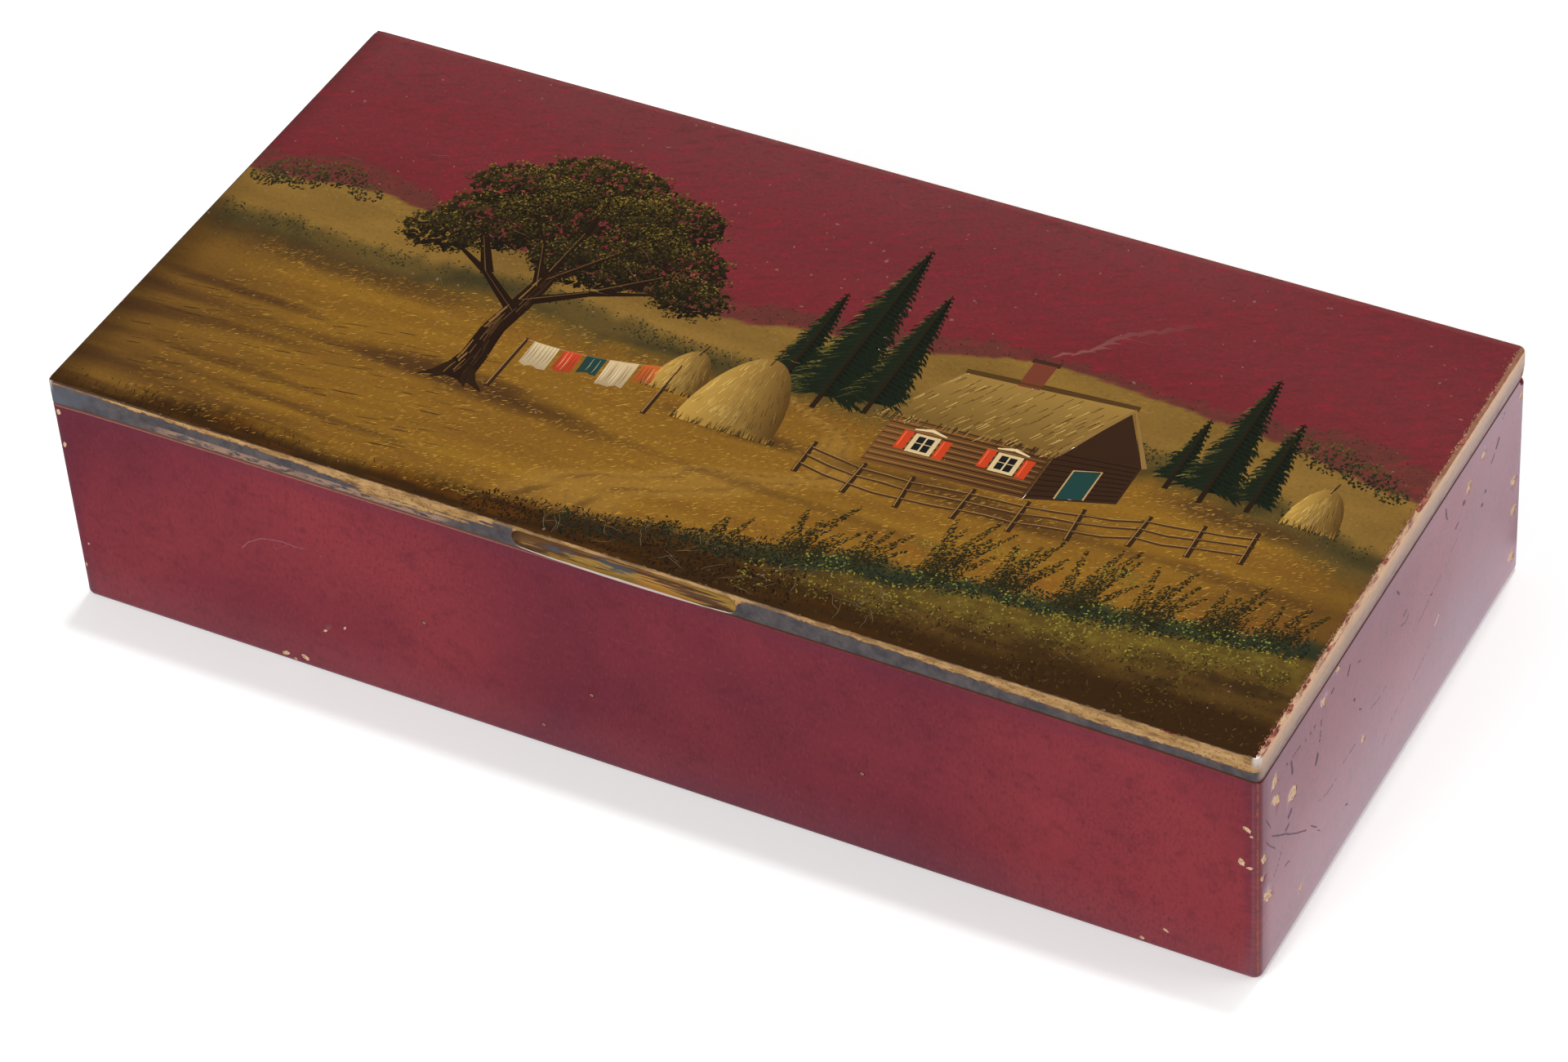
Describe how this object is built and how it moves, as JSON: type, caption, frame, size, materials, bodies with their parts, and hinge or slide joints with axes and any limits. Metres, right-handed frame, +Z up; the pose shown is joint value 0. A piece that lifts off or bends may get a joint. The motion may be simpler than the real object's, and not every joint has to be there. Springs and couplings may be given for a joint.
{
  "type": "hinged lidded box",
  "caption": "Low rectangular lacquered box with a flat painted hinged lid, gilt lid edge and a scooped thumb grip.",
  "frame": {"origin": "middle of the underside", "axes": "+X along the box to the right, +Y from the front to the hinge, +Z up"},
  "size_m": [0.21, 0.103, 0.046],
  "materials": {
    "lacquered_board": "glossy crimson lacquer on wound paper board",
    "painted_board": "painted and varnished paper board with a worn gilt edge",
    "lining_board": "satin red lacquer on thin paper board",
    "brass": "dull old brass",
    "wire": "drawn iron wire"
  },
  "bodies": {
    "case": {"wall_frame": "lacquered_board", "floor_board": "lacquered_board", "liner_front": "lining_board", "liner_right": "lining_board", "liner_back": "lining_board", "liner_left": "lining_board", "case_knuckle_1": "brass", "case_knuckle_2": "brass", "case_knuckle_3": "brass", "case_knuckle_4": "brass", "case_knuckle_5": "brass", "case_knuckle_6": "brass", "case_knuckle_7": "brass", "hinge_pin": "wire"},
    "lid": {"lid_board": "painted_board", "lid_knuckle_1": "brass", "lid_knuckle_2": "brass", "lid_knuckle_3": "brass", "lid_knuckle_4": "brass", "lid_knuckle_5": "brass", "lid_knuckle_6": "brass"}
  },
  "joints": [
    {"name": "lid_hinge", "type": "hinge", "parent": "case", "child": "lid", "pos_m": [0, 0.0499, 0.0411], "axis": [-1, 0, 0], "range_deg": [0, 100]}
  ]
}
